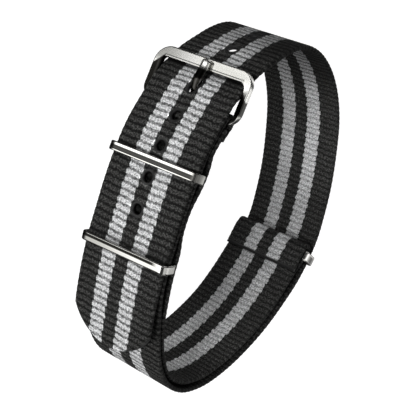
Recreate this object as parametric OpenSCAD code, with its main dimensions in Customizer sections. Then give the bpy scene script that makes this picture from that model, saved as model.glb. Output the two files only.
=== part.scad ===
// Nylon watch strap of the pass-through kind, closed in a loop and lying on its rim.
// Z runs across the width of the webbing. The loop lies in X and Y: the buckle and the
// tail are at -X, the seat for the watch head is at -Y. Millimetres.

/* [Webbing] */
// Width of the webbing
strap_w = 20; // [18:0.5:22]
// Thickness of one layer of webbing
strap_t = 1.0; // [0.8:0.05:1.0]
// Diameter of the adjustment holes
hole_d = 2.0; // [1.6:0.1:2.2]
// Distance between neighbouring adjustment holes
hole_pitch = 6.5; // [6.2:0.1:6.6]
// Distance from the tip to the first adjustment hole
hole_first = 29.7; // [28:0.1:30.5]
// Radius of the rounded tip, seen on the flat strap
tip_r = 11.3; // [11.2:0.1:14]

/* [Buckle] */
// Play between the edge of the webbing and an arm of the buckle
buckle_play = 0.5; // [0.45:0.05:0.7]
// How far the buckle sits toward the lower edge of the webbing
buckle_off = 0.35; // [0:0.05:0.35]
// Width of each buckle arm
arm_w = 1.5; // [1.4:0.1:1.9]
// Thickness of the buckle frame
frame_t = 1.2; // [1.1:0.05:1.3]
// Width of the front bar, along the strap
front_bar_w = 2.3; // [2:0.1:2.4]
// Diameter of the rear bar
rear_bar_d = 1.3; // [1.1:0.05:1.3]
// Width of the tongue
tongue_w = 1.5; // [1.2:0.1:1.6]
// Thickness of the tongue
tongue_t = 0.95; // [0.8:0.05:0.95]

/* [Keepers] */
// Thickness of the flat wire of the keepers
wire_t = 0.7; // [0.6:0.05:0.75]
// Width of the flat wire of the keepers, along the strap
wire_w = 1.6; // [1.3:0.1:1.7]
// Play between the edge of the webbing and a keeper
keeper_play = 0.2; // [0.15:0.05:0.4]
// Depth inside the two front keepers, which hold two layers
keeper_in = 2.7; // [2.65:0.05:2.75]
// Depth inside the end keeper, which holds two layers with slack
end_keeper_in = 3.8; // [3.75:0.05:3.9]
// Skew of the upper keeper on the strap, in degrees
upper_skew = 1; // [0:0.5:2]
// Skew of the lower keeper on the strap, in degrees
lower_skew = 2; // [0:0.5:2.5]

/* [Hidden] */
$fn = 48;

// shift that puts the middle of the whole part on the Z axis
shift = [0.2, 0.05];
// height of the strap's middle above the floor: the lower arm of the buckle stands on it
half_w = strap_w / 2 + buckle_play + arm_w + buckle_off;

// ---- curves -------------------------------------------------------------
function unit(v) = v / norm(v);
function rev(v) = [for (i = [len(v) - 1 : -1 : 0]) v[i]];
// direction of a smooth curve at its knot i
function knot_dir(k, i) =
    i == 0 ? unit(k[1] - k[0]) :
    i == len(k) - 1 ? unit(k[i] - k[i - 1]) :
    let (a = k[i] - k[i - 1], b = k[i + 1] - k[i], da = norm(a), db = norm(b))
        (a / da * db + b / db * da) / (da + db);
function blend(p, q, m, n, d, t) =
    (2 * t * t * t - 3 * t * t + 1) * p + (t * t * t - 2 * t * t + t) * d * m
    + (3 * t * t - 2 * t * t * t) * q + (t * t * t - t * t) * d * n;
// smooth curve through the knots, with a point about every step
function curve(k, step) = concat(
    [for (i = [0 : len(k) - 2])
        let (d = norm(k[i + 1] - k[i]), m = max(2, ceil(d / step)))
            for (j = [0 : m - 1])
                blend(k[i], k[i + 1], knot_dir(k, i), knot_dir(k, i + 1), d, j / m)],
    [k[len(k) - 1]]);
// direction of a list of points at its point i
function point_dir(p, i) = unit(p[min(len(p) - 1, i + 1)] - p[max(0, i - 1)]);
// the list moved sideways by h, to the left of its direction
function beside(p, h) = [for (i = [0 : len(p) - 1]) let (t = point_dir(p, i)) p[i] + h * [-t[1], t[0]]];
// closed outline of a ribbon of thickness t that follows the list
function ribbon(p, t) = concat(beside(p, t / 2), rev(beside(p, -t / 2)));
// distance from the start of the list to each of its points
function lengths(p) = [for (i = 0, s = 0; i < len(p); s = s + (i + 1 < len(p) ? norm(p[i + 1] - p[i]) : 0), i = i + 1) s];
// [point, direction angle] at distance s along the list
function place(p, s) =
    let (c = lengths(p), i = max([for (k = [0 : len(c) - 2]) if (c[k] <= s) k]),
         f = (s - c[i]) / (c[i + 1] - c[i]),
         t = (1 - f) * point_dir(p, i) + f * point_dir(p, i + 1))
        [(1 - f) * p[i] + f * p[i + 1], atan2(t[1], t[0])];
// arc of points round c, from angle a to angle b
function arc(c, r, a, b, n) = [for (i = [0 : n]) c + r * [cos(a + (b - a) * i / n), sin(a + (b - a) * i / n)]];

// ---- where the webbing runs -----------------------------------------------
// middle of the rear bar, and the direction of the webbing there
bar = [-23.5, 20.5];
bar_dir = 61.5;
fold_r = rear_bar_d / 2 + 0.05 + strap_t / 2;
// long strap: from the tip up the front, over the top, down the back, round
// the bottom, up behind the tail, round the rear bar and back down a little
main_knots = concat([
    [-27.1, -29.7], [-28.2, -25], [-29.2, -20.5], [-30.1, -15], [-30.6, -9], [-30.6, -3],
    [-30.5, 3], [-29.9, 9], [-28.8, 14.5], [-26.7, 19.8], [-25.65, 22], [-24.75, 24.15],
    [-22.95, 26.05], [-20.65, 28.12], [-18.9, 30], [-16.5, 32.1], [-11, 35.9], [-4.7, 38.2],
    [1.5, 38], [8.2, 35.8], [15.2, 31.3], [21.2, 24.9], [25.9, 16.2], [29, 8], [30.4, 1],
    [30.9, -4], [30.1, -9.5], [28, -15.2], [24.4, -20.6], [19.2, -26.6], [13, -31.6],
    [5.5, -35.8], [-2.5, -38.2], [-9.8, -38.1], [-15.8, -35.7], [-20.8, -31.2], [-24.5, -25],
    [-26.9, -19.6], [-28.6, -15], [-29.5, -9], [-29.5, -3], [-29.4, 3], [-28.8, 8.9],
    [-27.7, 14.2], [-25.6, 19.1]],
    arc(bar, fold_r, bar_dir + 90, bar_dir - 90, 6),
    [[-23.2, 18.6], [-24.1, 16.9]]);
main_line = curve(main_knots, 1.3);

// short strap: from between the legs of the fold at the buckle, down inside the
// long strap, over the back bars of the keepers, round the bottom and up to the
// end keeper, where it turns back on its inner side
end_bar = [26.9, -8.65];
end_dir = 61.8;
end_turn = 69;
turn = [27.5, -7.5];
turn_r = 1.25;
short_knots = concat([
    [-24.3, 19.1], [-25.4, 16.7], [-26.4, 14], [-26.2, 11.8], [-26.3, 9.6], [-26.8, 7.4],
    [-28.2, 3], [-28.4, -1.5], [-27.3, -6.4], [-27.2, -9], [-27, -11.6], [-26.4, -15.2],
    [-25.3, -20], [-23.2, -24.9], [-19.6, -30.3], [-14.9, -34.5], [-9.4, -36.5], [-2.4, -36.5],
    [4.8, -34.3], [12, -30.3], [18, -25.3], [21.9, -19.4], [23.7, -15.7], [25.1, -13]],
    [turn + 1.5 * [-cos(end_dir), -sin(end_dir)] + 1.22 * [sin(end_dir), -cos(end_dir)]],
    arc(turn, turn_r, end_dir - 90, end_dir + 90, 6),
    [turn + 1.5 * [-cos(end_dir), -sin(end_dir)] - 1.22 * [sin(end_dir), -cos(end_dir)],
     [24.1, -12.6]]);
short_line = curve(short_knots, 1.3);

// distances along the long strap, from its tip
slot_s = 56.9;
upper_s = 39.4;
lower_s = 20.9;

// ---- placing ---------------------------------------------------------------
// puts children at a point and direction: their X along the strap, their Y outward
module on_strap(at) translate([at[0][0] + shift[0], at[0][1] + shift[1], half_w]) rotate([0, 0, at[1]]) children();
// a ribbon of webbing, centred on the middle of the width
module webbing(line, w) translate([shift[0], shift[1], half_w - w / 2]) linear_extrude(w) polygon(ribbon(line, strap_t));
// a round tool along Y, from below the webbing to above it
module drill(d, under) rotate([-90, 0, 0]) translate([0, 0, -strap_t / 2 - under]) cylinder(d = d, h = strap_t + under + 1);
// outline with round corners
module round_outline(w, h, r) {
    square([w - 2 * r, h], center = true);
    square([w, h - 2 * r], center = true);
    for (x = [-1, 1], y = [-1, 1]) translate([x * (w / 2 - r), y * (h / 2 - r)]) circle(r);
}

// ---- long strap --------------------------------------------------------------
module main_strap() color([0.16, 0.16, 0.17]) difference() {
    webbing(main_line, strap_w);
    // rounded tip
    on_strap(place(main_line, tip_r)) difference() {
        translate([-tip_r - 2, -1.2, -strap_w]) cube([tip_r + 2, 2.4, 2 * strap_w]);
        rotate([90, 0, 0]) cylinder(r = tip_r, h = 4, center = true, $fn = 96);
    }
    // adjustment holes over the layers behind, then those in the single layer
    for (i = [0 : 3]) on_strap(place(main_line, hole_first + i * hole_pitch)) drill(hole_d, 0.03);
    for (i = [5 : 7]) on_strap(place(main_line, hole_first + i * hole_pitch)) drill(hole_d, 1);
    // the hole on the tongue, drawn long by it
    on_strap(place(main_line, slot_s)) {
        for (x = [-1.9, 1.2]) translate([x, 0, 0]) drill(hole_d, 1);
        translate([-1.9, -strap_t / 2 - 1, -hole_d / 2]) cube([3.1, strap_t + 2, hole_d]);
    }
    // opening in the fold that lets the tongue through
    on_strap([bar, bar_dir]) translate([-1.9, -2.2, -1.2]) cube([4.4, 4.03, 2.4]);
}

// ---- short strap -------------------------------------------------------------
module short_strap() color([0.2, 0.2, 0.21]) webbing(short_line, strap_w);

// ---- buckle ------------------------------------------------------------------
// the frame stands nearly straight up from the rear bar
frame_dir = 81;
frame_l = 10.3;
// radius of the opening's front corners
inner_r = 0.9;
module buckle_frame() color([0.85, 0.85, 0.84]) on_strap([bar, frame_dir]) translate([0, 0, -buckle_off]) {
    in_w = strap_w + 2 * buckle_play;
    out_w = in_w + 2 * arm_w;
    rotate([-90, 0, 0]) translate([0, 0, -frame_t / 2]) linear_extrude(frame_t) difference() {
        union() {
            // front corners round, rear corners round with a smaller radius
            translate([3, -out_w / 2]) square([frame_l - 6, out_w]);
            translate([frame_l - 4, -out_w / 2 + 3]) square([4, out_w - 6]);
            translate([-rear_bar_d / 2, -out_w / 2 + 2]) square([6, out_w - 4]);
            translate([1, -out_w / 2]) square([3, out_w]);
            for (y = [-1, 1]) {
                translate([frame_l - 3, y * (out_w / 2 - 3)]) circle(3);
                translate([2 - rear_bar_d / 2, y * (out_w / 2 - 2)]) circle(2);
            }
        }
        // the opening, closed at the back by the rear bar
        translate([-2, -in_w / 2]) square([frame_l - front_bar_w, in_w]);
        translate([frame_l - front_bar_w - 3, -in_w / 2 + inner_r]) square([3, in_w - 2 * inner_r]);
        for (y = [-1, 1]) translate([frame_l - front_bar_w - inner_r, y * (in_w / 2 - inner_r)]) circle(inner_r);
        translate([-2, -in_w / 2]) square([frame_l - front_bar_w + 2 - inner_r, in_w]);
    }
    cylinder(d = rear_bar_d, h = in_w + 0.6, center = true);
}

// tongue: an eye round the rear bar and a shank that rises through the long hole in the tail
// and rests on the front bar
tongue_line = curve([[0.7, 0.4], [1.6, 0.5], [2.5, 0.68], [3.5, 0.95], [4.6, 1.25], [5.8, 1.45], [7, 1.36], [8.2, 1.2], [9.3, 1.2]], 0.5);
module buckle_tongue() color([0.8, 0.8, 0.78]) on_strap([bar, frame_dir]) {
    difference() {
        union() {
            cylinder(r = 1.35, h = tongue_w, center = true);
            translate([0, 0, -tongue_w / 2]) linear_extrude(tongue_w) polygon(ribbon(tongue_line, tongue_t));
        }
        cylinder(d = rear_bar_d + 0.1, h = tongue_w + 1, center = true);
    }
    translate([9.3, 1.2, 0]) cylinder(d = tongue_t, h = tongue_w, center = true);
}

// ---- keepers -----------------------------------------------------------------
// a loop of flat wire: its depth runs along Y from low, its width along Z
module keeper(depth, low) {
    w = strap_w + 2 * keeper_play;
    translate([-wire_w / 2, low + depth / 2, 0]) rotate([90, 0, 90]) linear_extrude(wire_w) difference() {
        round_outline(depth + 2 * wire_t, w + 2 * wire_t, 1.2);
        round_outline(depth, w, 0.4);
    }
}
// front keepers: the front bar lies 0.25 over the tail, the back bar 0.35 under the second layer
front_low = strap_t / 2 + 0.25 - keeper_in;
module upper_keeper() color([0.82, 0.82, 0.8]) on_strap(place(main_line, upper_s)) rotate([0, upper_skew, 0]) keeper(keeper_in, front_low);
module lower_keeper() color([0.82, 0.82, 0.8]) on_strap(place(main_line, lower_s)) rotate([0, lower_skew, 0]) keeper(keeper_in, front_low);
// end keeper: hinged by its inner bar in the turned end of the short strap
module end_keeper() color([0.82, 0.82, 0.8]) on_strap([end_bar, end_turn]) mirror([0, 1, 0]) keeper(end_keeper_in, wire_t / 2);

main_strap();
short_strap();
buckle_frame();
buckle_tongue();
upper_keeper();
lower_keeper();
end_keeper();
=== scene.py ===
import bpy
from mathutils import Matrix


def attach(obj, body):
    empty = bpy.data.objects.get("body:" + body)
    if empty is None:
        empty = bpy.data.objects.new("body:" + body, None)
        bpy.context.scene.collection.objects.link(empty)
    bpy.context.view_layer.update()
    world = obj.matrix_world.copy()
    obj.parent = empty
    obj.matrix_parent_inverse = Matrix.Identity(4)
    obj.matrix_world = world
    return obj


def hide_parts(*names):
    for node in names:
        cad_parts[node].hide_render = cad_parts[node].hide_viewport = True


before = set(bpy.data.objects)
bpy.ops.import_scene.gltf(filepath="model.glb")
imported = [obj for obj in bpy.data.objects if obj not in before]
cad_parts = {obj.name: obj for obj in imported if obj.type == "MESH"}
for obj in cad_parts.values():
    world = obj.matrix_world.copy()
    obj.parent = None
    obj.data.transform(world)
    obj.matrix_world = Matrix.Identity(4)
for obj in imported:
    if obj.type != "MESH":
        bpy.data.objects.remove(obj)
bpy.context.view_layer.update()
import bpy, math
import numpy as np
from mathutils import Matrix, Vector

MM = 0.001
SX, SY, HW = 0.2, 0.05, 12.35
scene = bpy.context.scene

# ------------------------------------------------------------------ camera
cam_data = bpy.data.cameras.new("camera")
cam = bpy.data.objects.new("camera", cam_data)
scene.collection.objects.link(cam)
scene.camera = cam
cam_data.sensor_width = 36.0
cam_data.lens = 930.8 / 416 * 36
cam_data.clip_start = 0.01
cam_data.clip_end = 20.0
fwd = Vector((0.8409, -0.1890, -0.50658)).normalized()
up = Vector((0.0, 0.9367, -0.35004))
right = fwd.cross(up).normalized()
up = right.cross(fwd).normalized()
cam.matrix_world = Matrix((
    (right.x, up.x, -fwd.x, (-173.8 + SX) * MM),
    (right.y, up.y, -fwd.y, (37.6 + SY) * MM),
    (right.z, up.z, -fwd.z, (101.06 + HW) * MM),
    (0, 0, 0, 1)))

# ------------------------------------------------------------------ curves
def unit(v):
    return v / np.linalg.norm(v)

def knot_dir(k, i):
    if i == 0:
        return unit(k[1] - k[0])
    if i == len(k) - 1:
        return unit(k[i] - k[i - 1])
    a, b = k[i] - k[i - 1], k[i + 1] - k[i]
    da, db = np.linalg.norm(a), np.linalg.norm(b)
    return (a / da * db + b / db * da) / (da + db)

def smooth_line(knots, step):
    k = [np.array(p, float) for p in knots]
    out = []
    for i in range(len(k) - 1):
        d = np.linalg.norm(k[i + 1] - k[i])
        n = max(2, math.ceil(d / step))
        m0, m1 = knot_dir(k, i), knot_dir(k, i + 1)
        for j in range(n):
            t = j / n
            out.append((2 * t**3 - 3 * t**2 + 1) * k[i] + (t**3 - 2 * t**2 + t) * d * m0
                       + (3 * t**2 - 2 * t**3) * k[i + 1] + (t**3 - t**2) * d * m1)
    out.append(k[-1])
    return np.array(out)

def arc(c, r, a, b, n):
    return [(c[0] + r * math.cos(math.radians(a + (b - a) * i / n)), c[1] + r * math.sin(math.radians(a + (b - a) * i / n)))
            for i in range(n + 1)]

BAR = (-23.5, 20.5)
BAR_DIR = 61.5
FOLD_R = 0.65 + 0.05 + 0.5
MAIN = [
    (-27.1, -29.7), (-28.2, -25), (-29.2, -20.5), (-30.1, -15), (-30.6, -9), (-30.6, -3),
    (-30.5, 3), (-29.9, 9), (-28.8, 14.5), (-26.7, 19.8), (-25.65, 22), (-24.75, 24.15),
    (-22.95, 26.05), (-20.65, 28.12), (-18.9, 30), (-16.5, 32.1), (-11, 35.9), (-4.7, 38.2),
    (1.5, 38), (8.2, 35.8), (15.2, 31.3), (21.2, 24.9), (25.9, 16.2), (29, 8), (30.4, 1),
    (30.9, -4), (30.1, -9.5), (28, -15.2), (24.4, -20.6), (19.2, -26.6), (13, -31.6),
    (5.5, -35.8), (-2.5, -38.2), (-9.8, -38.1), (-15.8, -35.7), (-20.8, -31.2), (-24.5, -25),
    (-26.9, -19.6), (-28.6, -15), (-29.5, -9), (-29.5, -3), (-29.4, 3), (-28.8, 8.9),
    (-27.7, 14.2), (-25.6, 19.1)] + arc(BAR, FOLD_R, BAR_DIR + 90, BAR_DIR - 90, 6) + [(-23.2, 18.6), (-24.1, 16.9)]
END_DIR = 61.8
TURN = (27.5, -7.5)
_c, _s = math.cos(math.radians(END_DIR)), math.sin(math.radians(END_DIR))
SHORT = [
    (-24.3, 19.1), (-25.4, 16.7), (-26.4, 14), (-26.2, 11.8), (-26.3, 9.6), (-26.8, 7.4),
    (-28.2, 3), (-28.4, -1.5), (-27.3, -6.4), (-27.2, -9), (-27, -11.6), (-26.4, -15.2),
    (-25.3, -20), (-23.2, -24.9), (-19.6, -30.3), (-14.9, -34.5), (-9.4, -36.5), (-2.4, -36.5),
    (4.8, -34.3), (12, -30.3), (18, -25.3), (21.9, -19.4), (23.7, -15.7), (25.1, -13),
    (TURN[0] - 1.5 * _c + 1.22 * _s, TURN[1] - 1.5 * _s - 1.22 * _c)] + arc(TURN, 1.25, END_DIR - 90, END_DIR + 90, 6) + [
    (TURN[0] - 1.5 * _c - 1.22 * _s, TURN[1] - 1.5 * _s + 1.22 * _c), (24.1, -12.6)]

def smoothstep(a, b, x):
    t = np.clip((np.asarray(x, float) - a) / (b - a), 0, 1)
    return t * t * (3 - 2 * t)

# ------------------------------------------------------------------ meshes
def add_object(name, verts, faces, smooth=True):
    me = bpy.data.meshes.new(name)
    me.from_pydata([tuple(v) for v in np.asarray(verts) * MM], [], faces)
    me.polygons.foreach_set("use_smooth", [smooth] * len(me.polygons))
    me.update()
    ob = bpy.data.objects.new(name, me)
    scene.collection.objects.link(ob)
    return ob

RIB = 1.4

def min_to(s, w, holes):
    """How far a point lies toward the tip and the far edge, seen from its nearest hole, from -1 to 1; this places the
    painted highlight round the holes.
    """
    best, val = np.full(s.shape, 1e9), np.zeros(s.shape)
    for (a, b, _) in holes:
        u = s - np.clip(s, a, b)
        d = np.hypot(u, w)
        val = np.where(d < best, (-0.8 * u - 0.6 * w) / np.maximum(d, 1e-6), val)
        best = np.minimum(best, d)
    return val

def webbing(name, knots, tip_r=0.0, groove_shade_amount=None, holes=(), slit=None, side=lambda s: 0 * s, painted_light_shade=None, cut=0.55, amp=0.11, seed=0.0, cols=76, mat=None):
    """A ribbon with ribs across it, as a closed mesh. s is along it and w across it, in mm."""
    line = smooth_line(knots, 0.25)
    seg = np.linalg.norm(np.diff(line, axis=0), axis=1)
    cum = np.concatenate([[0], np.cumsum(seg)])
    length = cum[-1]
    tan = np.gradient(line, cum, axis=0)
    ker = np.ones(5) / 5
    tan = np.stack([np.convolve(np.pad(tan[:, k], 2, mode="edge"), ker, mode="valid") for k in (0, 1)], 1)
    tan /= np.linalg.norm(tan, axis=1)[:, None]
    ds = RIB / 8
    rows = np.arange(0, length, ds)
    if length - rows[-1] < 0.05:
        rows = rows[:-1]
    rows = np.concatenate([rows, [length]])
    if tip_r:
        rows = np.concatenate([[0.0, 0.008, 0.03, 0.06, 0.11], rows[1:]])
    nr = len(rows)
    half = np.full(nr, 10.0)
    if tip_r:
        half = np.where(rows < tip_r, np.sqrt(np.maximum(0, tip_r**2 - (tip_r - np.minimum(rows, tip_r))**2)), 10.0)
        half = np.minimum(half, 10.0)
    er = np.minimum(0.42, half * 0.9)
    nc = cols
    ne = 6
    t = np.linspace(-1, 1, nc + 1)
    S, W, H, NW, NH = [], [], [], [], []
    ang = np.linspace(math.pi / 2, -math.pi / 2, ne + 1)[1:-1]
    ht = 0.5
    flat = t[None, :] * (half - er)[:, None]
    one = np.ones((nr, 1))
    w_loop = np.concatenate([flat, (half - er)[:, None] + er[:, None] * np.cos(ang)[None, :],
                             flat[:, ::-1], -(half - er)[:, None] - er[:, None] * np.cos(ang)[None, :]], 1)
    h_loop = np.concatenate([np.full((nr, nc + 1), ht), one * (ht * np.sin(ang))[None, :],
                             np.full((nr, nc + 1), -ht), one * (-ht * np.sin(ang))[None, :]], 1)
    nw = np.concatenate([np.zeros(nc + 1), np.cos(ang), np.zeros(nc + 1), -np.cos(ang)])
    nh = np.concatenate([np.ones(nc + 1), np.sin(ang), -np.ones(nc + 1), -np.sin(ang)])
    M = w_loop.shape[1]
    s_loop = rows[:, None] * np.ones((1, M))
    inner_of = lambda j: (nc + 1) + (ne - 1) + (nc - j)

    # holes: cells inside go, and the cells' corners that border them move onto the outline
    rim = np.zeros((nr, M))
    dist_all = np.full((nr, M), 9.0)
    gone = np.zeros((nr - 1, nc), bool)
    sc = (s_loop[:-1, :nc] + s_loop[1:, :nc]) / 2
    wc = (w_loop[:-1, :nc] + w_loop[1:, 1:nc + 1]) / 2
    for (a, b, r) in holes:
        cell = np.hypot(sc - np.clip(sc, a, b), wc) < r
        gone |= cell
        pad = np.zeros((nr + 1, nc + 2), bool)
        pad[1:-1, 1:-1] = cell
        n_in = pad[:-1, :-1].astype(int) + pad[1:, :-1] + pad[:-1, 1:] + pad[1:, 1:]
        n_in = n_in[:, :]
        edge = (n_in > 0) & (n_in < 4)
        ii, jj = np.nonzero(edge[:nr, :nc + 1])
        for i, j in zip(ii, jj):
            s0, w0 = s_loop[i, j], w_loop[i, j]
            c0 = min(max(s0, a), b)
            v = np.array([s0 - c0, w0])
            v = v / np.linalg.norm(v) * r
            for q in (j, inner_of(j)):
                s_loop[i, q] = c0 + v[0]
                w_loop[i, q] = v[1]
    for (a, b, r) in holes:
        dist_all = np.minimum(dist_all, np.hypot(s_loop - np.clip(s_loop, a, b), w_loop) - r)
    if slit:
        gone |= (sc > slit[0]) & (sc < slit[1]) & (np.abs(wc - slit[3]) < slit[2])

    # ribs
    wob = (0.07 * np.sin(w_loop * 2 * math.pi / 4.3 + 2.5 * np.sin(s_loop / 7.7 + seed) + seed)
           + 0.05 * np.sin(w_loop * 3.9 + s_loop * 1.1 + seed * 3)
           + 0.04 * np.sin(w_loop * 9.7 - s_loop * 2.3 + seed))
    f = (s_loop + wob) / RIB
    idx = np.floor(f)
    R = (0.5 - 0.5 * np.cos(2 * math.pi * f)) ** 0.5
    vary = 0.9 + 0.1 * np.sin(idx * 12.9898 + seed * 4.1)
    near = smoothstep(0.25, 0.75, dist_all)
    wide = np.abs(nw)[None, :]
    d = (R * vary - 1) * (amp * (1 - wide) + 0.07 * wide) + 0.02
    d = d * near + (1 - near) * (-0.07)
    d += 0.05 * np.exp(-((dist_all - 0.14) / 0.13) ** 2) * (1 - wide)
    if tip_r:
        over = half[:, None] - np.abs(w_loop)
        melt = 1 - smoothstep(0.2, 0.8, np.minimum(over, 9) + (s_loop > 6.5) * 9)
        d = d * (1 - 0.8 * melt) - 0.05 * melt
        rim = np.maximum(rim, 0.6 * melt)
    rim = np.maximum(rim, 1 - smoothstep(0.34, 0.62, dist_all))
    rim = np.maximum(rim, smoothstep(length - cut, length - cut + 0.3, s_loop))
    if not tip_r:
        rim = np.maximum(rim, 1 - smoothstep(0.3, 0.55, s_loop))
    w_fin = w_loop + nw[None, :] * d
    h_fin = h_loop + nh[None, :] * d
    px = np.interp(s_loop, cum, line[:, 0]); py = np.interp(s_loop, cum, line[:, 1])
    tx = np.interp(s_loop, cum, tan[:, 0]); ty = np.interp(s_loop, cum, tan[:, 1])
    tn = np.hypot(tx, ty); tx /= tn; ty /= tn
    V = np.stack([px - ty * h_fin + SX, py + tx * h_fin + SY, w_fin + HW + side(s_loop)], -1).reshape(-1, 3)

    keep = np.ones((nr - 1, M), bool)
    for j in range(nc):
        keep[:, j] = ~gone[:, j]
        keep[:, inner_of(j + 1)] = ~gone[:, j]
    I, J = np.nonzero(keep)
    J1 = (J + 1) % M
    faces = np.stack([I * M + J, I * M + J1, (I + 1) * M + J1, (I + 1) * M + J], 1)
    walls = []
    gi, gj = np.nonzero(gone)
    isgone = lambda i, j: 0 <= i < nr - 1 and 0 <= j < nc and gone[i, j]
    vid = lambda i, j: i * M + j
    vin = lambda i, j: i * M + inner_of(j)
    for i, j in zip(gi, gj):
        for (di, dj, p, q) in ((-1, 0, (i, j), (i, j + 1)), (0, 1, (i, j + 1), (i + 1, j + 1)),
                               (1, 0, (i + 1, j + 1), (i + 1, j)), (0, -1, (i + 1, j), (i, j))):
            if not isgone(i + di, j + dj):
                walls.append((vid(*p), vid(*q), vin(*q), vin(*p)))
    caps = []
    for base, flip in ((0, True), ((nr - 1) * M, False)):
        if base == 0 and tip_r:
            continue
        for j in range(nc):
            q = (base + j, base + j + 1, base + inner_of(j + 1), base + inner_of(j))
            caps.append(q[::-1] if not flip else q)
        e1 = [base + nc] + [base + nc + 1 + k for k in range(ne - 1)] + [base + inner_of(nc)]
        e2 = [base + inner_of(0)] + [base + M - (ne - 1) + k for k in range(ne - 1)] + [base]
        for e in (e1, e2):
            caps.append(tuple(e if flip else e[::-1]))
    all_faces = [tuple(x) for x in faces.tolist()] + walls + [tuple(c) for c in caps]
    used = np.zeros(len(V), bool)
    used[faces.ravel()] = True
    for c in walls + caps:
        used[list(c)] = True
    new = np.cumsum(used) - 1
    all_faces = [tuple(int(new[k]) for k in fc) for fc in all_faces]
    ob = add_object(name, V[used], all_faces)
    me = ob.data
    uv = me.uv_layers.new(name="strap")
    loops = np.empty(len(me.loops), np.int32)
    me.loops.foreach_get("vertex_index", loops)
    su = s_loop.ravel()[used][loops]; wu = w_loop.ravel()[used][loops]
    uv.data.foreach_set("uv", np.stack([su, wu], 1).astype(np.float32).ravel())
    # painted light and shade, as factors on the colour
    painted_light_shade_vals = painted_light_shade(s_loop, w_loop) if painted_light_shade else np.ones_like(s_loop)
    # painted highlight: a lighter ring round each hole, brighter on the side toward the tip and the far edge
    if holes:
        highlight_side = min_to(s_loop, w_loop, holes)
        painted_light_shade_vals = painted_light_shade_vals * (1 + (0.7 + 1.8 * smoothstep(0.1, 0.7, highlight_side)) * np.exp(-((dist_all - 0.58) / 0.14) ** 2))
    rel = groove_shade_amount(s_loop) if groove_shade_amount else np.ones_like(s_loop)
    for key, val in (("ribpos", f), ("rim", rim), ("painted_light_shade", painted_light_shade_vals), ("groove_shade_amount", rel)):
        at = me.attributes.new(key, "FLOAT", "POINT")
        at.data.foreach_set("value", np.broadcast_to(val, (nr, M)).reshape(-1)[used].astype(np.float32))
    if mat:
        me.materials.append(mat)
    return ob

# ------------------------------------------------------------------ materials
def nodes_of(mat):
    mat.use_nodes = True
    nt = mat.node_tree
    nt.nodes.clear()
    out = nt.nodes.new("ShaderNodeOutputMaterial")
    bs = nt.nodes.new("ShaderNodeBsdfPrincipled")
    nt.links.new(bs.outputs[0], out.inputs[0])
    return nt, bs

class Tree:
    def __init__(self, nt):
        self.nt = nt
    def n(self, kind, **kw):
        node = self.nt.nodes.new(kind)
        for k, v in kw.items():
            setattr(node, k, v)
        return node
    def link(self, a, b):
        self.nt.links.new(a, b)
    def math(self, op, a, b=None, c=None, clamp=False):
        node = self.n("ShaderNodeMath", operation=op, use_clamp=clamp)
        for i, x in enumerate((a, b, c)):
            if x is None:
                continue
            if isinstance(x, (int, float)):
                node.inputs[i].default_value = x
            else:
                self.link(x, node.inputs[i])
        return node.outputs[0]
    def ramp(self, x, a, b, lo=0.0, hi=1.0, kind="SMOOTHSTEP"):
        node = self.n("ShaderNodeMapRange", interpolation_type=kind)
        self.link(x, node.inputs[0])
        for i, v in ((1, a), (2, b), (3, lo), (4, hi)):
            node.inputs[i].default_value = v
        return node.outputs[0]
    def mix(self, fac, a, b):
        node = self.n("ShaderNodeMix", data_type="RGBA")
        self.link(fac, node.inputs[0])
        for i, v in ((6, a), (7, b)):
            if isinstance(v, tuple):
                node.inputs[i].default_value = v
            else:
                self.link(v, node.inputs[i])
        return node.outputs[2]

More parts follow.
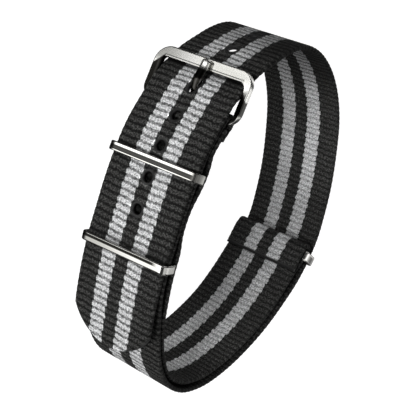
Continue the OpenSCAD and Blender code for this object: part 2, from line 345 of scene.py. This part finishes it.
def fabric(name, grey=(0.41, 0.414, 0.417, 1), black=(0.0175, 0.0175, 0.0168, 1)):
    mat = bpy.data.materials.new(name)
    nt, bs = nodes_of(mat)
    T = Tree(nt)
    uv = T.n("ShaderNodeUVMap", uv_map="strap")
    sep = T.n("ShaderNodeSeparateXYZ")
    T.link(uv.outputs[0], sep.inputs[0])
    u, v = sep.outputs[0], sep.outputs[1]
    pos = T.n("ShaderNodeAttribute", attribute_name="ribpos").outputs["Fac"]
    rim = T.n("ShaderNodeAttribute", attribute_name="rim").outputs["Fac"]
    frac = T.math("FRACT", pos)
    rib = T.math("MULTIPLY_ADD", T.math("COSINE", T.math("MULTIPLY", pos, 2 * math.pi)), -0.5, 0.5)
    def grain_at(su, sv, detail, rough, off):
        vec = T.n("ShaderNodeCombineXYZ")
        T.link(T.math("MULTIPLY_ADD", u, su, off), vec.inputs[0])
        T.link(T.math("MULTIPLY", v, sv), vec.inputs[1])
        node = T.n("ShaderNodeTexNoise")
        node.inputs["Scale"].default_value = 1.0
        node.inputs["Detail"].default_value = detail
        node.inputs["Roughness"].default_value = rough
        T.link(vec.outputs[0], node.inputs["Vector"])
        return node.outputs["Fac"]
    # filament grain, broader mottling, and the fine threads across each rib
    fine = grain_at(2.6, 1.9, 3.0, 0.8, 0.0)
    spk = grain_at(3.1, 2.5, 2.0, 0.85, 17.0)
    mott = grain_at(0.5, 0.22, 1.0, 0.5, 40.0)
    # painted shade in the groove between two ribs: ragged, and not the same along its length
    ragged = T.math("ADD", T.math("SUBTRACT", 1.0, rib), T.math("MULTIPLY", T.math("SUBTRACT", fine, 0.5), 1.35))
    uneven = T.ramp(grain_at(0.9, 1.2, 1.0, 0.5, 71.0), 0.36, 0.62, 0.62, 1.0, "LINEAR")
    groove = T.math("MULTIPLY", T.ramp(ragged, 0.40, 0.92), uneven)
    # how strong the painted groove shade is, set per vertex
    groove_shade_amount = T.n("ShaderNodeAttribute", attribute_name="groove_shade_amount").outputs["Fac"]
    groove = T.math("MULTIPLY", groove, groove_shade_amount)
    # a wider painted groove shade, for the black stripes
    loose = T.math("ADD", T.math("SUBTRACT", 1.0, rib), T.math("MULTIPLY", T.math("SUBTRACT", fine, 0.5), 2.1))
    painted_dark = T.math("MULTIPLY", T.ramp(loose, 0.40, 0.95), T.math("MULTIPLY_ADD", groove_shade_amount, 0.4, 0.6))
    # threads along each rib's width
    phase = T.math("MULTIPLY_ADD", v, 2.9, T.math("MULTIPLY_ADD", u, 0.9, T.math("MULTIPLY", fine, 2.2)))
    thread = T.math("MULTIPLY_ADD", T.math("SINE", T.math("MULTIPLY", phase, 2 * math.pi)), 0.5, 0.5)
    # stripes: every second rib they start anew, a little to the side, which makes their edges toothed
    pair = T.math("FRACT", T.math("MULTIPLY", pos, 0.5))
    vs = T.math("ADD", v, T.math("MULTIPLY", T.math("SUBTRACT", pair, 0.5), 0.40))
    av = T.math("ABSOLUTE", vs)
    e = T.math("MINIMUM", T.math("SUBTRACT", av, 1.62), T.math("SUBTRACT", 5.08, av))
    wob = T.math("MULTIPLY", T.math("SUBTRACT", rib, 0.5), 0.10)
    gw = T.math("MULTIPLY", T.math("SUBTRACT", fine, 0.5), 0.35)
    mask = T.ramp(T.math("ADD", T.math("ADD", e, wob), gw), -0.06, 0.06)
    speck = T.ramp(spk, 0.43, 0.57, 0.0, 1.0, "LINEAR")
    # specks and threads, darkened by the painted shade in the grooves
    grey_k = T.math("MULTIPLY", T.math("MULTIPLY", T.math("MULTIPLY_ADD", speck, 0.86, 0.47), T.math("MULTIPLY_ADD", thread, 0.22, 0.84)), T.math("MULTIPLY_ADD", groove, -0.84, 1.0))
    black_k = T.math("MULTIPLY", T.math("MULTIPLY_ADD", T.math("POWER", speck, 2.0), 2.5, 0.42), T.math("MULTIPLY_ADD", painted_dark, -0.84, 1.0))
    shade = T.math("ADD", T.math("MULTIPLY", grey_k, mask), T.math("MULTIPLY", black_k, T.math("SUBTRACT", 1.0, mask)))
    shade = T.math("MULTIPLY", shade, T.ramp(mott, 0.3, 0.7, 0.88, 1.12, "LINEAR"))
    # the painted light and shade of the webbing
    shade = T.math("MULTIPLY", shade, T.n("ShaderNodeAttribute", attribute_name="painted_light_shade").outputs["Fac"])
    col = T.mix(mask, black, grey)
    mul = T.n("ShaderNodeMix", data_type="RGBA", blend_type="MULTIPLY")
    mul.inputs[0].default_value = 1.0
    T.link(col, mul.inputs[6])
    comb = T.n("ShaderNodeCombineColor")
    for i in range(3):
        T.link(shade, comb.inputs[i])
    T.link(comb.outputs[0], mul.inputs[7])
    base = T.mix(rim, mul.outputs[2], (0.008, 0.008, 0.008, 1))
    T.link(base, bs.inputs["Base Color"])
    rough = T.ramp(rim, 0.0, 1.0, 0.70, 0.42, "LINEAR")
    T.link(rough, bs.inputs["Roughness"])
    T.link(T.ramp(rim, 0.0, 1.0, 0.12, 0.4, "LINEAR"), bs.inputs["Specular IOR Level"])
    h = T.math("ADD", T.math("MULTIPLY", fine, 0.5), T.math("MULTIPLY", spk, 0.4))
    hm = T.math("MULTIPLY", h, T.ramp(rim, 0.0, 1.0, 1.0, 0.1, "LINEAR"))
    bump = T.n("ShaderNodeBump")
    bump.inputs["Strength"].default_value = 0.8
    bump.inputs["Distance"].default_value = 0.00022
    T.link(hm, bump.inputs["Height"])
    T.link(bump.outputs[0], bs.inputs["Normal"])
    return mat

def steel(name, color=(0.80, 0.79, 0.76, 1), rough=(0.16, 0.30), grain=0.25, scale=900.0, stretch=(1, 1, 0.06), painted_dark=(0.034, 0.032, 0.027, 1)):
    mat = bpy.data.materials.new(name)
    nt, bs = nodes_of(mat)
    T = Tree(nt)
    tc = T.n("ShaderNodeTexCoord")
    mp = T.n("ShaderNodeMapping")
    mp.inputs["Scale"].default_value = stretch
    T.link(tc.outputs["Object"], mp.inputs[0])
    no = T.n("ShaderNodeTexNoise")
    no.inputs["Scale"].default_value = scale
    no.inputs["Detail"].default_value = 4.0
    T.link(mp.outputs[0], no.inputs["Vector"])
    big = T.n("ShaderNodeTexNoise")
    big.inputs["Scale"].default_value = 120.0
    T.link(tc.outputs["Object"], big.inputs["Vector"])
    T.link(T.ramp(no.outputs["Fac"], 0.3, 0.7, rough[0], rough[1], "LINEAR"), bs.inputs["Roughness"])
    dark = (color[0] * 0.9, color[1] * 0.9, color[2] * 0.88, 1)
    # painted reflections and shade: a per-vertex attribute mixes the colour toward a dark colour; the broad noise is
    # the steel's own uneven tone
    painted_reflection_shade = T.n("ShaderNodeAttribute", attribute_name="painted_reflection_shade").outputs["Fac"]
    T.link(T.mix(painted_reflection_shade, T.mix(T.ramp(big.outputs["Fac"], 0.35, 0.65), color, dark), painted_dark), bs.inputs["Base Color"])
    bs.inputs["Metallic"].default_value = 1.0
    bump = T.n("ShaderNodeBump")
    bump.inputs["Strength"].default_value = grain
    bump.inputs["Distance"].default_value = 0.00002
    T.link(no.outputs["Fac"], bump.inputs["Height"])
    T.link(bump.outputs[0], bs.inputs["Normal"])
    return mat

nylon = fabric("striped_nylon")
nylon_in = fabric("striped_nylon_inner")
satin = steel("satin_steel", color=(0.78, 0.775, 0.745, 1), rough=(0.23, 0.28), grain=0.02, scale=1200.0, painted_dark=(0.0068, 0.0064, 0.0054, 1))
bright = steel("bright_steel", color=(0.76, 0.75, 0.72, 1), rough=(0.10, 0.20), grain=0.12, painted_dark=(0.0055, 0.0052, 0.0042, 1))
tongue_mat = steel("tongue_steel", color=(0.80, 0.79, 0.77, 1), rough=(0.12, 0.22), grain=0.12, painted_dark=(0.012, 0.0115, 0.0095, 1))

# ------------------------------------------------------------------ webbing
# painted light and shade on the long strap, as factors on its colour: a painted shadow under the buckle's front bar,
# painted shade just above each front keeper, painted shade on the centre of the layer under the tail, and painted shade
# and light over the top and down the back, uneven across the width
def painted_light_shade_main(s, w):
    k = 1 - 0.84 * smoothstep(58.9, 60.3, s) * (1 - smoothstep(63.2, 64.0, s))
    k = k * (1 - 0.42 * smoothstep(21.5, 21.75, s) * (1 - smoothstep(22.0, 23.8, s)))
    k = k * (1 - 0.32 * smoothstep(40.0, 40.25, s) * (1 - smoothstep(40.4, 41.4, s)))
    k = k * (1 - 0.75 * smoothstep(212, 216, s) * (1 - smoothstep(262, 264, s)) * (1 - smoothstep(1.3, 1.6, np.abs(w))))
    k = k * (1 - (0.43 + 0.022 * np.clip(w, -6, 6)) * smoothstep(64, 74, s) * (1 - smoothstep(90, 106, s)))
    k = k * (1 + 0.26 * smoothstep(96, 112, s) * (1 - smoothstep(122, 132, s)))
    return k * (1 - (0.12 + 0.02 * np.clip(w, -5, 5)) * smoothstep(128, 136, s) * (1 - smoothstep(146, 152, s)))
def side_main(s):
    return (-0.52 * smoothstep(56.6, 59.8, s) * (1 - smoothstep(64, 71, s)) - 0.3 * smoothstep(256, 262, s))
# painted light and shade on the inner strap: a little darker at its start, painted light across the bottom of the loop,
# a little darker beyond, uneven across the width
def painted_light_shade_short(s, w):
    k = 1 - 0.10 * (1 - smoothstep(30, 45, s)) + 0.55 * smoothstep(48, 60, s) * (1 - smoothstep(84, 98, s))
    return k * (1 - (0.06 + 0.012 * np.clip(w, -5, 5)) * smoothstep(96, 104, s))
holes = [(29.7 + 6.5 * i, 29.7 + 6.5 * i, 1.3 if i == 5 else 1.08) for i in (0, 1, 2, 3, 5, 6, 7)] + [(56.9 - 1.65, 56.9 + 0.7, 0.84)]
main_len = 275.26
# weaker painted groove shade on the back and bottom of the long strap and on all of the inner strap
main = webbing("long_strap", MAIN, tip_r=11.3, holes=holes, slit=(main_len - 9.0, main_len - 2.3, 0.9, 0.3), side=side_main, painted_light_shade=painted_light_shade_main, groove_shade_amount=lambda s: 1 - 0.45 * smoothstep(96, 108, s) * (1 - smoothstep(196, 206, s)), mat=nylon, seed=0.4)
short = webbing("inner_strap", SHORT, side=lambda s: -0.6 * smoothstep(38, 60, s) * (1 - smoothstep(92, 110, s)), painted_light_shade=painted_light_shade_short, cut=0.85, groove_shade_amount=lambda s: 0.55 + 0 * s, mat=nylon_in, seed=2.1)
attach(main, "webbing"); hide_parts("main_strap")
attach(short, "webbing"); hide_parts("short_strap")

# ------------------------------------------------------------------ hardware
def local(at, ang, skew=0.0, dz=0.0):
    """Matrix, in mm, of the frame whose X runs along the strap and whose Y points outward."""
    return (Matrix.Translation((at[0] + SX, at[1] + SY, HW)) @ Matrix.Rotation(math.radians(ang), 4, "Z")
            @ Matrix.Rotation(math.radians(skew), 4, "Y") @ Matrix.Translation((0, 0, dz)))

def put(verts, m):
    return [tuple(m @ Vector(v)) for v in verts]

def rounded_loop(x0, x1, y0, y1, radii, n):
    """Points round a rectangle with its own radius at each corner, from the corner (x1, y1) on, anticlockwise."""
    pts = []
    for (cx, cy, a0), r in zip(((x1, y1, 0), (x0, y1, 90), (x0, y0, 180), (x1, y0, 270)), radii):
        sx = 1 if cx == x1 else -1
        sy = 1 if cy == y1 else -1
        for k in range(n + 1):
            a = math.radians(a0 + 90 * k / n)
            pts.append((cx - sx * r + r * math.cos(a), cy - sy * r + r * math.sin(a)))
    return pts

def flat_profile(ht, hw, c, soft):
    """Outline of a flat wire's section: a across the thickness, b across the width, with soft chamfers."""
    pts = []
    for sa, sb in ((1, 1), (1, -1), (-1, -1), (-1, 1)):
        if soft:
            cs = [(ht - c + c * math.sin(x), hw - c + c * math.cos(x)) for x in np.linspace(0, math.pi / 2, 6)]
        else:
            k = c * 0.12
            cs = [(ht - c - k, hw), (ht - c + k * 0.7, hw - k * 0.7), (ht - k * 0.7, hw - c + k * 0.7), (ht, hw - c - k)]
        cs = [(sa * a, sb * b) for a, b in cs]
        if sa * sb < 0:
            cs = cs[::-1]
        pts += cs
    out = []
    for i, p in enumerate(pts):
        q = pts[(i + 1) % len(pts)]
        out.append(p)
        k = int(math.dist(p, q) / 0.09)
        out += [(p[0] + (q[0] - p[0]) * j / k, p[1] + (q[1] - p[1]) * j / k) for j in range(1, k)]
    return out

def grid_faces(nu, nv, close_u=True, close_v=True):
    fs = []
    for i in range(nu if close_u else nu - 1):
        for j in range(nv if close_v else nv - 1):
            a, b = i, (i + 1) % nu
            c, d = j, (j + 1) % nv
            fs.append((a * nv + c, b * nv + c, b * nv + d, a * nv + d))
    return fs

# stores painted reflections and shade per vertex
def set_painted_reflection_shade(ob, values):
    at = ob.data.attributes.new("painted_reflection_shade", "FLOAT", "POINT")
    at.data.foreach_set("value", np.asarray(values, np.float32))

def fix_normals(ob):
    import bmesh
    bm = bmesh.new()
    bm.from_mesh(ob.data)
    bmesh.ops.recalc_face_normals(bm, faces=bm.faces)
    bm.to_mesh(ob.data)
    bm.free()

def keeper(name, body, node, m, depth, low, chamfer, soft, corner=(1.2, 1.2, 1.2, 1.2), mat=bright, mirror=False, shade=None, wid=1.6):
    t, w = 0.7, 20.4
    half_w = w / 2 + t / 2
    y0, y1 = low - t / 2, low + depth + t / 2
    path = rounded_loop(y0, y1, -half_w, half_w, [c - t / 2 for c in corner], 8)
    # extra stations along the straight stretches
    full = []
    for i, p in enumerate(path):
        q = path[(i + 1) % len(path)]
        full.append(p)
        d = math.dist(p, q)
        if d > 1.0:
            k = int(d / 0.7)
            full += [(p[0] + (q[0] - p[0]) * j / k, p[1] + (q[1] - p[1]) * j / k) for j in range(1, k)]
    prof = flat_profile(t / 2, wid / 2, chamfer, soft)
    V, painted_reflection_shade = [], []
    n = len(full)
    for i in range(n):
        a, b = full[i - 1], full[(i + 1) % n]
        tx, ty = b[0] - a[0], b[1] - a[1]
        l = math.hypot(tx, ty)
        nx, ny = ty / l, -tx / l
        for (pa, pb) in prof:
            y = full[i][0] + nx * pa
            V.append((pb, -y if mirror else y, full[i][1] + ny * pa))
            # painted reflections per vertex, from the shade function
            painted_reflection_shade.append(shade(full[i][0] - low, full[i][1], pa / t * 2, pb / wid * 2) if shade else 0.0)
    ob = add_object(name, put(V, m), grid_faces(n, len(prof)))
    set_painted_reflection_shade(ob, painted_reflection_shade)
    fix_normals(ob)
    ob.data.materials.append(mat)
    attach(ob, body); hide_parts(node)
    return ob

UP = ((-29.8493, 9.3282), 81.4243)
LO = ((-30.5933, -9.13348), 92.3541)
FRONT_LOW = 0.5 + 0.25 - 2.7
def band(x, a, b, soft=0.08):
    return float(smoothstep(a - soft, a + soft, x) * (1 - smoothstep(b - soft, b + soft, x)))
def shade_a(y, z, a, b):
    """Painted reflections: dark band along the front bar between a broad light edge above and a thin one below, dark
    cap far, grey near.
    """
    k = 0.0
    if z > 9.5:
        k = 0.38 + 0.50 * float(smoothstep(0.2, 2.5, y))
    elif y > 1.5 and a > 0.2:
        k = max(0.0, 0.985 * band(b, -0.68, 0.30, 0.07) - 0.03 * band(b, -0.46, 0.02, 0.10))
    if z < -9.3:
        k = max(k, 0.80)
    return k
def shade_end(y, z, a, b):
    """Painted reflection on the near leg: dark middle between a bright inner end and a paler outer end."""
    return 0.88 * band(y, 0.9, 3.6, 0.7) * band(b, -0.80, 0.62, 0.15) + 0.05 if z > 9.4 else 0.15
def shade_b(y, z, a, b):
    """Painted reflections: dark band near the upper edge of the front bar, grey near leg."""
    k = 0.0
    if y > 1.5 and a > 0.2 and z < 9.6:
        k = (0.998 - 0.02 * band(b, 0.36, 0.48, 0.04)) * band(b, 0.08, 0.76, 0.06) * (1 - 0.85 * float(smoothstep(7.4, 9.2, z)))
        if b < 0.12:
            k = max(k, 0.36 + 0.28 * (1 - float(smoothstep(-9, 8, z))))
    if z > 10.0:
        k = max(k, 0.5)
    if z < -9.6:
        k = max(k, 0.7)
    return k
keeper("front_keeper_a", "upper_keeper_body", "upper_keeper", local(*UP, skew=1), 2.7, FRONT_LOW, 0.16, False, corner=(0.75, 1.3, 1.3, 1.0), shade=shade_a, wid=1.88)
keeper("front_keeper_b", "lower_keeper_body", "lower_keeper", local(*LO, skew=2), 2.7, FRONT_LOW, 0.32, True, shade=shade_b, wid=1.88)
keeper("rear_keeper", "end_keeper_body", "end_keeper", local((26.9, -8.65), 69), 3.95, 0.125, 0.30, True, corner=(0.95, 0.95, 0.95, 0.95), mirror=True, shade=shade_end, wid=2.3)

# buckle: a plate frame with rounded edges
def buckle():
    m = local(BAR, 81, dz=-0.35)
    out = (-0.65, 10.3, -12.0, 11.6)
    inn = (0.65, 8.0, -10.12, 10.12)
    ro, ri = [3.0, 3.0, 2.4, 3.7], [1.4, 0.9, 0.9, 0.8]
    n = 10
    ht = 0.6
    e = 0.20
    loops = []
    def outer(d, h):
        loops.append([(x, h, y) for x, y in rounded_loop(out[0] + d, out[1] - d, out[2] + d, out[3] - d, [max(0.2, r - d) for r in ro], n)])
    def inner(d, h):
        loops.append([(x, h, y) for x, y in rounded_loop(inn[0] - d, inn[1] + d, inn[2] - d, inn[3] + d, [r + d for r in ri], n)])
    steps = np.linspace(0, math.pi / 2, 7)
    for a in steps:                      # outer edge, from the middle up to the face
        outer(e * (1 - math.cos(a)), ht - e + e * math.sin(a))
    outer(e + 0.06, ht)
    inner(e + 0.06, ht)
    for a in steps[::-1]:
        inner(e * (1 - math.cos(a)), ht - e + e * math.sin(a))
    # rings between the two edges of the face
    a_out, a_in = loops[len(steps)], loops[len(steps) + 1]
    rings = 9
    between = [[tuple(p[c] + (q[c] - p[c]) * i / (rings + 1) for c in range(3)) for p, q in zip(a_out, a_in)] for i in range(1, rings + 1)]
    loops[len(steps) + 1:len(steps) + 1] = between
    n_top = len(loops)
    for a in steps:
        inner(e * (1 - math.cos(a)), -(ht - e + e * math.sin(a)))
    inner(e + 0.06, -ht)
    outer(e + 0.06, -ht)
    for a in steps[::-1]:
        outer(e * (1 - math.cos(a)), -(ht - e + e * math.sin(a)))
    # stations along the straight stretches, so that the painted reflection and shade can change there
    def refine(lp):
        out = []
        for i, p in enumerate(lp):
            q = lp[(i + 1) % len(lp)]
            out.append(p)
            if (i + 1) % (n + 1) == 0:
                k = 24
                out += [tuple(p[c] + (q[c] - p[c]) * j / k for c in range(3)) for j in range(1, k)]
        return out
    loops = [refine(lp) for lp in loops]
    # the arms slope down from their outer edge to their inner edge
    def slope(p, share):
        x, h, y = p
        arm = (1 - float(smoothstep(5.6, 7.8, x))) * float(smoothstep(9.0, 10.1, abs(y)))
        return (x, h - 0.14 * arm * share, y)
    for k in range(len(steps) + 1, n_top):
        share = min(1.0, (k - len(steps)) / (rings + 1))
        loops[k] = [slope(p, share) for p in loops[k]]
    # the rear bar is rounded, where the fold and the tongue go round it
    def rounded(p):
        x, h, y = p
        d = math.hypot(x, h)
        if x > 1.2 or abs(y) > 10.0 or d <= 0.655:
            return p
        k = 1 + (0.655 / d - 1) * (1 - float(smoothstep(9.3, 9.9, abs(y)))) * (1 - float(smoothstep(0.9, 1.2, x)))
        return (x * k, h * k, y)
    loops = [[rounded(p) for p in lp] for lp in loops]
    nv = len(loops[0])
    V = [v for lp in loops for v in lp]
    # painted reflections and shade on the front of the frame: darker toward the far end of the front bar, a dark line
    # along its inner edge and painted shade on the wall below it, both arms dark below a slanting line, the rear near
    # corner and the back left bare
    def painted_reflection_shade(x, h, y):
        k = 0.0
        face = h > 0.35
        if x > 7.0:
            k = 0.50 * (1 - float(smoothstep(-11.8, 1.0, y)))
            if abs(y) < 9.6:
                if face:
                    k = max(k, 0.88 * band(x, 8.36, 8.56, 0.07), 0.35 * (1 - float(smoothstep(8.30, 8.38, x))))
                else:
                    k = max(k, 0.85 * (1 - float(smoothstep(8.05, 8.2, x))))
        if y > 9.6:
            dark = 1 - float(smoothstep(-0.2, 0.2, x - 6.7 + 1.35 * (y - 10.1)))
            k = max(k, (0.25 if not face and y < 10.5 else 0.994 if y < 11.36 else 0.93) * dark)
        if y < -9.6:
            dark = 1 - float(smoothstep(-0.2, 0.2, x - 6.0 - 1.08 * (y + 12)))
            k = max(k, (0.996 - 0.022 * band(y, -10.85, -10.5, 0.06)) * dark * float(smoothstep(-11.99, -11.9, y)))
        if x < 1.6 and y > 9.2 and h > -0.3:
            k = 0.0
        return k if h > -0.5 else 0.0
    ob = add_object("buckle", put(V, m), grid_faces(len(loops), nv))
    set_painted_reflection_shade(ob, [painted_reflection_shade(*v) for v in V])
    fix_normals(ob)
    ob.data.materials.append(satin)
    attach(ob, "buckle"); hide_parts("buckle_frame")
    return ob
buckle()

def tongue():
    m = local(BAR, 81)
    # the band goes round the bar, then out along the shank
    ring = [(0.99 * math.cos(a), 0.99 * math.sin(a)) for a in np.linspace(math.radians(-52), math.radians(-334), 30)]
    ring = [(x, y) for x, y in ring]
    shank = smooth_line([(0.85, 0.43), (1.6, 0.5), (2.5, 0.72), (3.5, 1.1), (4.6, 1.5), (5.8, 1.65), (7, 1.4), (8.2, 1.2), (9.3, 1.2)], 0.2)
    verts, faces = [], []
    def sweep(path, tks, wds, cap=True):
        base = len(verts)
        path = np.array(path)
        tg = np.gradient(path, axis=0)
        tg /= np.linalg.norm(tg, axis=1)[:, None]
        sec = 48
        for i, p in enumerate(path):
            nx, ny = -tg[i][1], tg[i][0]
            for k in range(sec):
                a = 2 * math.pi * k / sec
                ca, sa = math.cos(a), math.sin(a)
                q = 0.45 + 0.14 * float(smoothstep(7.2, 8.6, p[0]))
                du = math.copysign(abs(ca) ** q, ca) * wds[i] / 2
                dv = math.copysign(abs(sa) ** q, sa) * tks[i] / 2
                verts.append((p[0] + nx * dv, p[1] + ny * dv, du))
        for i in range(len(path) - 1):
            for k in range(sec):
                k1 = (k + 1) % sec
                faces.append((base + i * sec + k, base + (i + 1) * sec + k, base + (i + 1) * sec + k1, base + i * sec + k1))
        faces.append(tuple(base + k for k in range(sec)))
        faces.append(tuple(base + (len(path) - 1) * sec + k for k in reversed(range(sec))))
    sweep(ring, [0.58] * len(ring), [1.5] * len(ring))
    L = len(shank)
    pos = np.linspace(0, 1, L)
    end = np.array([(9.2 + 0.8 * math.sin(a), 1.2) for a in np.linspace(0.25, math.pi / 2 * 0.98, 11)])
    path = np.vstack([shank, end])
    tks = list(0.95 - 0.0 * pos) + [0.95 * math.cos(a) ** 0.15 for a in np.linspace(0.25, math.pi / 2 * 0.98, 11)]
    broad = 1.5 + 0.5 * smoothstep(4.6, 5.4, shank[:, 0]) - 0.05 * smoothstep(8.0, 9.0, shank[:, 0])
    wds = list(broad) + [2.0 * math.cos(a) ** 0.8 for a in np.linspace(0.25, math.pi / 2 * 0.98, 11)]
    sweep(path, tks, wds)
    # painted reflection: a dark band and shank with two lighter lines along the shank, and a bright tip
    def painted_reflection_shade(x, y, z):
        u = z / (0.75 + 0.25 * float(smoothstep(4.6, 5.4, x)))
        on = float(smoothstep(3.0, 4.2, x))
        k = 0.998 - on * (0.16 * band(abs(u), 0.80, 0.96, 0.05) + 0.07 * band(u, -0.16, 0.02, 0.05))
        return k * (1 - float(smoothstep(7.7, 8.1, x)))
    # it has play on the bar and leans a little toward one edge
    lean = [(x, y, z + (max(x, 0.9) - 3.0) * 0.03) for x, y, z in verts]
    ob = add_object("tongue", put(lean, m), faces)
    set_painted_reflection_shade(ob, [painted_reflection_shade(*v) for v in verts])
    fix_normals(ob)
    ob.data.materials.append(tongue_mat)
    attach(ob, "tongue"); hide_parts("buckle_tongue")
    return ob
tongue()

# ------------------------------------------------------------------ floor and light
def floor():
    me = bpy.data.meshes.new("floor")
    r = 6.0
    me.from_pydata([(-r, -r, 0), (r, -r, 0), (r, r, 0), (-r, r, 0)], [], [(0, 1, 2, 3)])
    ob = bpy.data.objects.new("floor", me)
    scene.collection.objects.link(ob)
    mat = bpy.data.materials.new("pale_floor")
    nt, bs = nodes_of(mat)
    bs.inputs["Base Color"].default_value = (0.3, 0.3, 0.3, 1)
    bs.inputs["Roughness"].default_value = 0.9
    bs.inputs["Emission Color"].default_value = (1, 1, 1, 1)
    bs.inputs["Emission Strength"].default_value = 1.0
    me.materials.append(mat)
    ob.visible_glossy = False
    ob.visible_shadow = False
floor()

def backdrop():
    """A round wall far off, so that low views end in white too."""
    n, r = 48, 2.4
    verts = [(r * math.cos(2 * math.pi * i / n), r * math.sin(2 * math.pi * i / n), z) for z in (-0.01, 3.5) for i in range(n)]
    me = bpy.data.meshes.new("backdrop")
    me.from_pydata(verts, [], [(i, (i + 1) % n, n + (i + 1) % n, n + i) for i in range(n)])
    ob = bpy.data.objects.new("backdrop", me)
    scene.collection.objects.link(ob)
    me.materials.append(bpy.data.materials["pale_floor"])
    ob.visible_glossy = False
    ob.visible_diffuse = False
    ob.visible_shadow = False
backdrop()

def area(name, pos, target, size, power, color=(1, 1, 1), glossy=True, diffuse=True):
    ld = bpy.data.lights.new(name, "AREA")
    ld.shape = "RECTANGLE"
    ld.size, ld.size_y = size
    ld.energy = power
    ld.color = color
    ob = bpy.data.objects.new(name, ld)
    scene.collection.objects.link(ob)
    ob.location = pos
    ob.visible_glossy = glossy
    ob.visible_diffuse = diffuse
    d = Vector(target) - Vector(pos)
    ob.rotation_euler = d.to_track_quat("-Z", "Y").to_euler()
    return ob

area("key", (-0.85, -0.06, 0.17), (0, 0, 0.01), (0.35, 0.3), 9.0, glossy=False)
area("panel", (-0.485, -0.068, -0.25), (0, 0, 0.01), (0.48, 0.22), 0.76, diffuse=False)
area("rim", (0.75, -0.17, 0.45), (0, 0, 0.01), (0.4, 0.4), 0.5)
area("card_back", (0.6, 0.35, 0.06), (0, 0, 0.01), (0.5, 0.3), 0.6, diffuse=False)
area("card_side", (0.1, -0.65, 0.12), (0, 0, 0.01), (0.5, 0.3), 0.6, diffuse=False)
area("card_far", (-0.05, 0.65, 0.12), (0, 0, 0.01), (0.5, 0.3), 0.6, diffuse=False)
area("card_front", (-0.33, -0.13, 0.55), (0, 0, 0.01), (0.6, 0.5), 1.1, diffuse=False)
area("card_low", (-0.72, 0.07, 0.13), (0, 0, 0.01), (0.36, 0.34), 0.26, diffuse=False)
area("card_top", (0.24, -0.04, 0.68), (0, 0, 0.01), (0.4, 0.75), 1.5, diffuse=False)

world = bpy.data.worlds.new("studio")
scene.world = world
world.use_nodes = True
bg = world.node_tree.nodes["Background"]
bg.inputs[0].default_value = (1, 1, 1, 1)
bg.inputs[1].default_value = 0.05
scene.view_settings.view_transform = "Standard"
scene.view_settings.look = "None"
